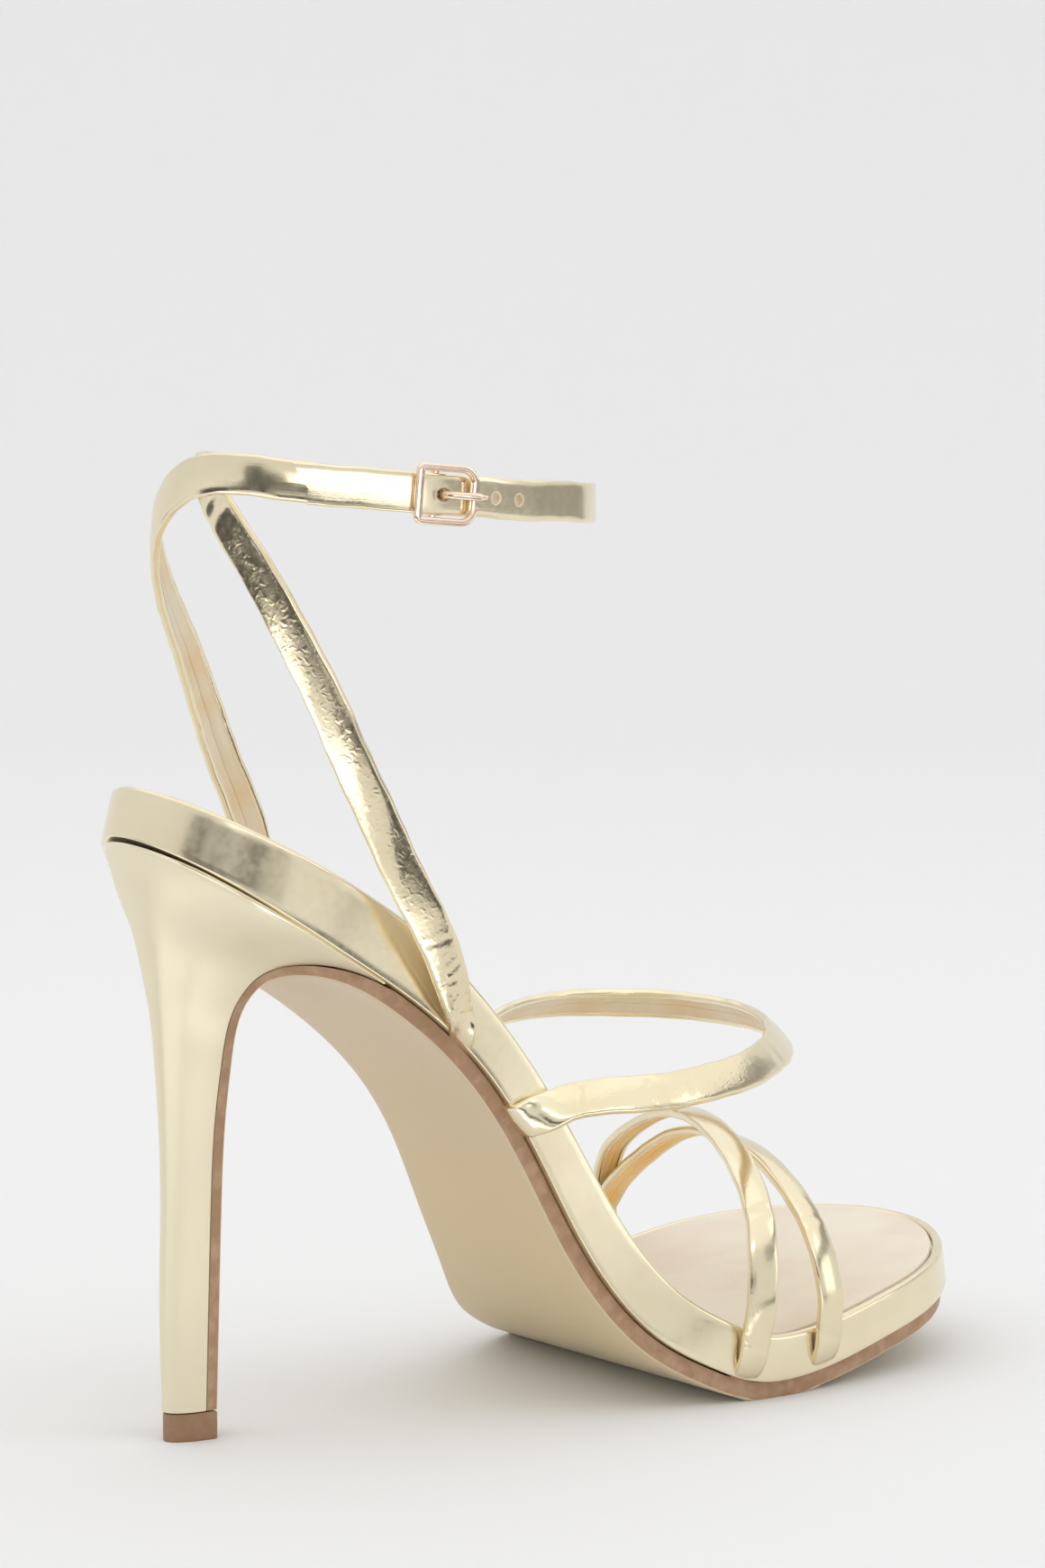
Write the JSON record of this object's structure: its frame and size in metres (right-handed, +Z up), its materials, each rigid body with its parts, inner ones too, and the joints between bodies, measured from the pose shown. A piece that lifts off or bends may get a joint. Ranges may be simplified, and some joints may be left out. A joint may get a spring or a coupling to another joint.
{
  "type": "strappy stiletto sandal",
  "caption": "Open sandal on a stiletto heel, with crossed straps behind a buckled ankle, an instep strap and toe straps, right foot.",
  "frame": {"origin": "middle of the heel tip's floor face", "axes": "+X from the heel to the toes, +Y to the inner side of the foot, +Z up"},
  "size_m": [0.1804, 0.0876, 0.1719],
  "materials": {
    "gold_leather": "metallic foil, crinkled",
    "sole_leather": "smooth",
    "tip_plastic": "matt",
    "nude_leather": "smooth",
    "rose_metal": "polished"
  },
  "bodies": {
    "root": {"outsole": "sole_leather", "heel": "gold_leather", "heel_tip": "tip_plastic", "footbed": "gold_leather", "insole_sock": "nude_leather", "ankle_straps": "gold_leather", "instep_strap": "gold_leather", "toe_straps": "gold_leather", "buckle_frame": "rose_metal", "buckle_prong": "rose_metal"}
  },
  "joints": []
}
